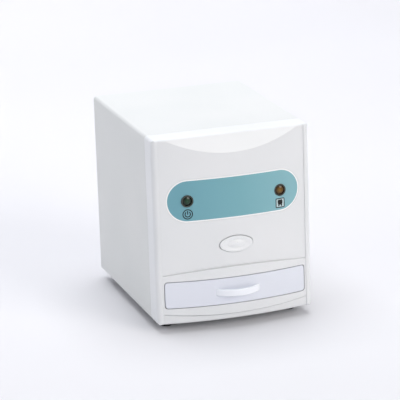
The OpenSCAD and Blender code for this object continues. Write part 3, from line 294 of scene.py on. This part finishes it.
def label_film():
    """Polycarbonate film, screen-printed in teal from behind inside a thin white margin: the teal is painted
    lighter to the right, as painted light from the front right, and the screen leaves a fine stipple in the
    gloss. The margin is printed, and is also a painted highlight along the label's recessed edge. It starts
    where the distance from the label's spine, between the middles of its two round ends, nears half the
    height."""
    material, tree, place = new_material("PC_film_teal_screen_printed")
    parts = add(tree, "SeparateXYZ", {"Vector": place})
    along = add(tree, "Math", {0: parts.outputs["X"]}, operation="ABSOLUTE")
    past = add(tree, "Math", {0: along, 1: (label_w - label_h) / 2}, operation="SUBTRACT")
    past_end = add(tree, "Math", {0: past, 1: 0.0}, operation="MAXIMUM")
    up = add(tree, "Math", {0: parts.outputs["Z"], 1: label_z}, operation="SUBTRACT")
    from_spine = add(tree, "CombineXYZ", {"X": past_end, "Y": up})
    reach = add(tree, "VectorMath", {0: from_spine}, operation="LENGTH").outputs["Value"]
    # The white margin: printed, and also a painted highlight along the label's recessed edge
    margin = add(tree, "MapRange", {"Value": reach, "From Min": label_h / 2 - MARGIN - MARGIN_BLUR,
                                    "From Max": label_h / 2 - MARGIN + MARGIN_BLUR})
    across = add(tree, "MapRange", {"Value": parts.outputs["X"], "From Min": -label_w / 2,
                                    "From Max": label_w / 2})
    # Painted light: the teal is lighter towards the right, where the front light falls from the right
    teal = add(tree, "ValToRGB", {"Fac": across},
               stops=[(0.1, "#69a2b0"), (0.55, "#74acb6"), (0.95, "#84b6bf")])
    colour = add(tree, "Mix", {"Factor": margin, "A": teal, "B": linear("#ffffff")}, data_type="RGBA")
    stipple = add(tree, "TexNoise", {"Vector": place, "Scale": per_metre(0.4), "Detail": 2.0})
    gloss = add(tree, "MapRange", {"Value": stipple, "To Min": 0.3, "To Max": 0.42})
    bump = add(tree, "Bump", {"Height": stipple, "Strength": 1.0, "Distance": 3 * UM})
    return finished(material, {"Base Color": colour.outputs["Result"], "Roughness": gloss, "Normal": bump,
                               "IOR": IOR_POLYCARBONATE})


def printing_ink(name, shade, thin_shade):
    """Screen-printing ink: flat colour with a slight unevenness where the ink lies thin."""
    material, tree, place = new_material(name)
    cover = add(tree, "TexNoise", {"Vector": place, "Scale": per_metre(0.8), "Detail": 3.0})
    colour = add(tree, "ValToRGB", {"Fac": cover}, stops=[(0.35, thin_shade), (0.6, shade)])
    return finished(material, {"Base Color": colour, "Roughness": 0.6, "IOR": IOR_INK})


rubber = foot_rubber()
opal = opal_acrylic()
window_glass = clear_glass("glass_float_clear", "#f2f8f6", "#dfe6e5")
optical_glass = clear_glass("glass_optical_polished", "#eef2fb", "#dde3ee")
# The lamps' lighter middles are painted highlights over the dies' cups
green_resin = lamp_resin("epoxy_green_lamp", green_x, "#050c07", "#17402a")
amber_resin = lamp_resin("epoxy_amber_lamp", amber_x, "#241604", "#7d5b1c")
teal_film = label_film()
dark_ink = printing_ink("ink_dark_blue_screen_printed", "#060a0d", "#0f171b")
pale_ink = printing_ink("ink_pale_grey_screen_printed", "#c9dcdf", "#b9d0d4")
white_ink = printing_ink("ink_white_pad_printed", "#e6e7e8", "#cfd0d2")

FINISHES = {
    bezel_abs: ["front_bezel"],
    button_abs: ["button_cap"],
    case_abs: ["case_shell"],
    panel_abs: ["rear_panel", "base_plate"],
    rubber: ["foot_front_left", "foot_front_right", "foot_rear_left", "foot_rear_right"],
    nickel_screw: ["foot_screws", "plate_screws", "rear_screws", "front_board_screws", "camera_screws",
                   "board_screws", "drawer_screws"],
    teal_film: ["indicator_label"],
    green_resin: ["power_lamp"],
    amber_resin: ["film_lamp"],
    ring_abs: ["lamp_rings"],
    black_nylon: ["switch_body", "camera_hood", "image_sensor", "lens_holder", "lens_barrel",
                  "processor_chip", "drawer_sensor", "power_jack", "rocker_body", "rocker_key"],
    board_green: ["front_board", "main_board"],
    board_blue: ["camera_board"],
    zinc_sheet: ["rail_left", "rail_right", "camera_frame"],
    light_box_abs: ["light_box", "light_board"],
    opal: ["diffuser_plate"],
    turned_brass: ["camera_standoffs", "board_standoffs"],
    optical_glass: ["lens_glass"],
    drawn_aluminium: ["capacitors"],
    nickel_shell: ["usb_socket"],
    drawer_abs: ["drawer_front", "drawer_tray", "switch_plunger"],
    handle_abs: ["drawer_handle"],
    frame_abs: ["film_frame"],
    window_glass: ["film_window"],
}
for finish, names in FINISHES.items():
    for name in names:
        piece = nodes[name]
        piece.data.materials.clear()
        piece.data.materials.append(finish)

# Print: how high the ink stands, how deep its back is sunk to leave no gap, and the step between two inks
INK_T = 0.06 * MM
INK_SINK = 0.03 * MM
INK_STEP = 0.02 * MM


def add_print(name, points, faces, finish, body):
    """A closed mesh from its points and faces, turned outwards: where its signed volume is negative, its
    faces are turned round. It rides on the body."""
    mesh = bpy.data.meshes.new(name)
    mesh.from_pydata(points.reshape(-1, 3).tolist(), [], faces)
    mesh.materials.append(finish)
    shape = bmesh.new()
    shape.from_mesh(mesh)
    bmesh.ops.recalc_face_normals(shape, faces=shape.faces)
    if shape.calc_volume(signed=True) < 0:
        bmesh.ops.reverse_faces(shape, faces=shape.faces)
    shape.to_mesh(mesh)
    shape.free()
    piece = bpy.data.objects.new(name, mesh)
    bpy.context.scene.collection.objects.link(piece)
    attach(piece, body)


def on_label(x, z, lift):
    """Points at (x, z) on the label's front: y follows the face's drum, front + R - sqrt(R^2 - x^2), less the
    lift."""
    y = face_y + FACE_RADIUS - np.sqrt(FACE_RADIUS ** 2 - x ** 2) - lift
    return np.stack([x, y, z], axis=-1)


def printed_line(name, x, z, width, finish, closed=True, place=on_label, body="housing"):
    """A printed line along (x, z): a flat bar of the given width, carried along the line's own normal. A
    closed line runs back into its start, and the ends of an open one are capped."""
    if closed:
        dx = np.roll(x, -1) - np.roll(x, 1)
        dz = np.roll(z, -1) - np.roll(z, 1)
    else:
        dx = np.gradient(x)
        dz = np.gradient(z)
    length = np.hypot(dx, dz)
    half_width = np.array([-0.5, 0.5, 0.5, -0.5]) * width
    lift = np.array([INK_T, INK_T, -INK_SINK, -INK_SINK])
    px = x[:, None] - (dz / length)[:, None] * half_width
    pz = z[:, None] + (dx / length)[:, None] * half_width
    points = place(px, pz, np.broadcast_to(lift, px.shape))
    rows, columns = px.shape
    steps = np.arange(rows if closed else rows - 1)
    i0, j0 = (a.ravel() for a in np.meshgrid(steps, np.arange(columns), indexing="ij"))
    i1 = (i0 + 1) % rows
    j1 = (j0 + 1) % columns
    quads = np.stack([i0 * columns + j0, i1 * columns + j0, i1 * columns + j1, i0 * columns + j1], axis=1)
    faces = quads.tolist()
    if not closed:
        faces.append(list(range(columns)))
        faces.append([(rows - 1) * columns + k for k in reversed(range(columns))])
    add_print(name, points, faces, finish, body)


def printed_patch(name, x, z, finish, layer):
    """A printed area over a grid (x, z): the grid in front, raised by the layer, its copy behind, and a wall
    round their edge."""
    rows, columns = x.shape
    front = on_label(x, z, np.full(x.shape, INK_T + layer))
    back = on_label(x, z, np.full(x.shape, -INK_SINK))
    index = np.arange(rows * columns).reshape(rows, columns)
    i0, j0 = (a.ravel() for a in np.meshgrid(np.arange(rows - 1), np.arange(columns - 1), indexing="ij"))
    top = np.stack([index[i0, j0], index[i0 + 1, j0], index[i0 + 1, j0 + 1], index[i0, j0 + 1]], axis=1)
    bottom = top[:, ::-1] + rows * columns
    ring = np.concatenate([index[0, :-1], index[:-1, -1], index[-1, :0:-1], index[:0:-1, 0]])
    after = np.roll(ring, -1)
    wall = np.stack([ring, after, after + rows * columns, ring + rows * columns], axis=1)
    points = np.concatenate([front.reshape(-1, 3), back.reshape(-1, 3)])
    faces = np.concatenate([top, bottom, wall]).tolist()
    add_print(name, points, faces, finish, "housing")


# Power sign under the green lamp: a circle, an open ring and a bar from just under its middle through the gap
SIGN_DROP = 11.6 * MM
SIGN_R = 4.1 * MM
SIGN_LINE = 0.85 * MM
POWER_R = 2.3 * MM
POWER_GAP = math.radians(38)
sign_z = label_z - SIGN_DROP
turn = np.linspace(0, 2 * math.pi, 64, endpoint=False)
printed_line("power_sign_circle", green_x + SIGN_R * np.sin(turn), sign_z + SIGN_R * np.cos(turn), SIGN_LINE,
             dark_ink)
turn = np.linspace(POWER_GAP, 2 * math.pi - POWER_GAP, 49)
printed_line("power_sign_ring", green_x + POWER_R * np.sin(turn), sign_z + POWER_R * np.cos(turn), SIGN_LINE,
             dark_ink, closed=False)
bar = np.linspace(-0.1, 1.3, 7) * POWER_R
printed_line("power_sign_bar", np.full(bar.shape, green_x), sign_z + bar, SIGN_LINE, dark_ink, closed=False)

# Tooth sign under the amber lamp: a square frame with round corners, a pale ground and a molar
FRAME_HALF = 3.9 * MM
FRAME_LINE = 0.8 * MM
FRAME_CORNER = 0.5 * MM
straight = FRAME_HALF - FRAME_CORNER
quarter = np.linspace(0, math.pi / 2, 6)
corners = [(1, 1, 0), (-1, 1, 1), (-1, -1, 2), (1, -1, 3)]
frame_x = np.concatenate([amber_x + cx * straight + FRAME_CORNER * np.cos(quarter + q * math.pi / 2)
                          for cx, cz, q in corners])
frame_z = np.concatenate([sign_z + cz * straight + FRAME_CORNER * np.sin(quarter + q * math.pi / 2)
                          for cx, cz, q in corners])
printed_line("tooth_sign_frame", frame_x, frame_z, FRAME_LINE, dark_ink)
across, upward = np.meshgrid(np.linspace(-1, 1, 9), np.linspace(-1, 1, 9), indexing="ij")
ground_half = FRAME_HALF - FRAME_LINE / 2
printed_patch("tooth_sign_ground", amber_x + across * ground_half, sign_z + upward * ground_half, pale_ink,
              layer=-INK_STEP)

# The molar, as shares of its width and height: the neck's width, the crown's swell above it with its start and
# its rise, the dip between two cusps, the rounding of the crown, the fork between two roots and their rounding
TOOTH_W = 4.6 * MM
TOOTH_H = 6.2 * MM
NECK = 0.80
SWELL = 0.20
SWELL_START = 0.35
SWELL_RISE = 1.15
CUSP_DIP = 0.055
CROWN_ROUNDING = 0.10
FORK_DEPTH = 0.30
FORK_WIDTH = 0.32
ROOT_ROUNDING = 0.06
across, upward = np.meshgrid(np.linspace(-1, 1, 33), np.linspace(0, 1, 25), indexing="ij")
swell = np.sin(math.pi * np.clip(upward * SWELL_RISE - SWELL_START, 0, 0.5))
half = 0.5 * TOOTH_W * (NECK + SWELL * swell)
dip = CUSP_DIP * (1 + np.cos(2 * math.pi * across)) / 2
crown = TOOTH_H * (0.5 - dip - CROWN_ROUNDING * across ** 6)
fork = FORK_DEPTH * np.exp(-(across / FORK_WIDTH) ** 2)
root = -TOOTH_H * (0.5 - fork - ROOT_ROUNDING * across ** 4)
printed_patch("tooth_sign_molar", amber_x + across * half, sign_z + root + (crown - root) * upward, dark_ink,
              layer=INK_STEP)

# The power switch's key: its tilt at rest, how far its middle stands behind its axis, how steeply its two
# halves rise from there, and how deep the axis lies
KEY_TILT = math.radians(8)
KEY_MIDDLE = 3.35 * MM
KEY_SLOPE = 0.099
KEY_DEPTH = 4.1 * MM
KEY_AXIS = Vector(((rocker_low.x + rocker_high.x) / 2, rocker_high.y - KEY_DEPTH,
                   (rocker_low.z + rocker_high.z) / 2))


def on_key(x, z, lift):
    """Points at (x, z) on the key's back: y = middle + slope |z|, raised by the lift, and then turned by the
    tilt about the key's axis."""
    y = KEY_MIDDLE + KEY_SLOPE * np.abs(z) + lift
    turned_y = y * math.cos(KEY_TILT) - z * math.sin(KEY_TILT)
    turned_z = y * math.sin(KEY_TILT) + z * math.cos(KEY_TILT)
    return np.stack([KEY_AXIS.x + x, KEY_AXIS.y + turned_y, KEY_AXIS.z + turned_z], axis=-1)


# Marks on the key: a bar on its upper half and a ring on its lower one
MARK_LINE = 0.5 * MM
MARK_Z = 4.2 * MM
MARK_R = 1.3 * MM
bar = MARK_Z + np.linspace(-1, 1, 7) * MARK_R
printed_line("rocker_mark_bar", np.zeros(bar.shape), bar, MARK_LINE, white_ink, closed=False, place=on_key,
             body="rocker")
turn = np.linspace(0, 2 * math.pi, 40, endpoint=False)
printed_line("rocker_mark_ring", MARK_R * np.sin(turn), -MARK_Z + MARK_R * np.cos(turn), MARK_LINE, white_ink,
             place=on_key, body="rocker")

# Stage: floor and backdrop in one paper sweep, far larger than the object
SWEEP_NEAR = -6.0
SWEEP_FAR = 1.0
SWEEP_RISE = 2.2
SWEEP_R = 0.8
SWEEP_HALF = 5.0
PAPER_CLOUD_MM = 400


def paper_sweep():
    """The profile runs along the floor, turns up through a quarter circle and rises, and is carried along X.
    The paper is matt, with faint wide clouds."""
    bend = np.linspace(0, math.pi / 2, 25)
    y = np.concatenate([[SWEEP_NEAR], SWEEP_FAR + SWEEP_R * np.sin(bend), [SWEEP_FAR + SWEEP_R]])
    z = np.concatenate([[0.0], SWEEP_R * (1 - np.cos(bend)), [SWEEP_RISE]])
    x = np.array([-SWEEP_HALF, SWEEP_HALF])
    points = np.stack([np.broadcast_to(x[:, None], (2, y.size)), np.broadcast_to(y, (2, y.size)),
                       np.broadcast_to(z, (2, y.size))], axis=-1)
    i = np.arange(y.size - 1)
    quads = np.stack([i, i + y.size, i + y.size + 1, i + 1], axis=1)
    mesh = bpy.data.meshes.new("paper_sweep")
    mesh.from_pydata(points.reshape(-1, 3).tolist(), [], quads.tolist())
    mesh.polygons.foreach_set("use_smooth", np.ones(len(mesh.polygons), dtype=bool))
    piece = bpy.data.objects.new("paper_sweep", mesh)
    bpy.context.scene.collection.objects.link(piece)
    material, tree, place = new_material("paper_backdrop_matt")
    clouds = add(tree, "TexNoise", {"Vector": place, "Scale": per_metre(PAPER_CLOUD_MM), "Detail": 1.0})
    colour = add(tree, "ValToRGB", {"Fac": clouds}, stops=[(0.3, "#e2e2e5"), (0.7, "#e4e4e7")])
    finished(material, {"Base Color": colour, "Roughness": 0.9, "Specular IOR Level": 0.1})
    mesh.materials.append(material)


paper_sweep()

# The room's even light, with a warm band at the horizon that tints the shadow beside the object
ROOM_STRENGTH = 0.47
ROOM_BANDS = [(0.49, "#f6f8fc"), (0.5, "#ffc394"), (0.55, "#f6f8fc")]
world = bpy.data.worlds.new("studio")
bpy.context.scene.world = world
world.use_nodes = True
room = world.node_tree
height = add(room, "SeparateXYZ", {"Vector": add(room, "TexCoord").outputs["Generated"]}).outputs["Z"]
height_share = add(room, "MapRange", {"Value": height, "From Min": -1.0, "From Max": 1.0})
room_colour = add(room, "ValToRGB", {"Fac": height_share}, stops=ROOM_BANDS)
room.links.new(room_colour.outputs["Color"], room.nodes["Background"].inputs["Color"])
room.nodes["Background"].inputs["Strength"].default_value = ROOM_STRENGTH

# Soft boxes: a large one overhead, one in front to the right, a weak one to the left, one on the backdrop
COOL_WHITE = "#fafbff"
WARM_WHITE = "#fffaf4"


def soft_box(name, place, aim, size, power, colour):
    """A square area lamp at place that looks at aim."""
    data = bpy.data.lights.new(name, "AREA")
    data.shape = "SQUARE"
    data.size = size
    data.energy = power
    data.color = linear(colour)[:3]
    lamp = bpy.data.objects.new(name, data)
    lamp.location = place
    lamp.rotation_mode = "QUATERNION"
    lamp.rotation_quaternion = (Vector(aim) - Vector(place)).to_track_quat("-Z", "Y")
    bpy.context.scene.collection.objects.link(lamp)


middle = (cad_low + cad_high) / 2
soft_box("overhead_box", (0.0, 0.3, 2.4), middle, size=2.0, power=25.5, colour=COOL_WHITE)
soft_box("front_box", (1.5, -2.6, 1.32), middle, size=1.6, power=40.8, colour=WARM_WHITE)
soft_box("left_box", (-3.0, -0.6, 1.72), middle, size=2.0, power=10.4, colour=COOL_WHITE)
soft_box("backdrop_box", (0.0, 0.6, 2.0), (0, 1.5, 0.3), size=1.5, power=14, colour=COOL_WHITE)

# Camera: fitted to the housing's corners in the photograph. Its focal length is in pixels of the frame.
AIM = Vector((-6.43, -8.75, 94.65)) * MM
AZIMUTH = math.radians(-17.93)
ELEVATION = math.radians(16.208)
ROLL = math.radians(-1.9146)
DISTANCE = 2111.4 * MM
SENSOR = 36.0
FOCAL_PX = 2378.96
FRAME_PX = 400
back = Vector((math.sin(AZIMUTH) * math.cos(ELEVATION), -math.cos(AZIMUTH) * math.cos(ELEVATION),
               math.sin(ELEVATION)))
level = (-back).cross(Vector((0, 0, 1))).normalized()
upright = level.cross(-back)
right = math.cos(ROLL) * level + math.sin(ROLL) * upright
up = -math.sin(ROLL) * level + math.cos(ROLL) * upright
camera_data = bpy.data.cameras.new("camera")
camera_data.sensor_width = SENSOR
camera_data.lens = SENSOR * FOCAL_PX / FRAME_PX
camera_data.clip_start = 0.05
camera_data.clip_end = 20
camera = bpy.data.objects.new("camera", camera_data)
bpy.context.scene.collection.objects.link(camera)
turned = Matrix((right, up, back)).transposed().to_4x4()
camera.matrix_world = Matrix.Translation(AIM + back * DISTANCE) @ turned
bpy.context.scene.camera = camera
bpy.context.scene.view_settings.view_transform = "Standard"
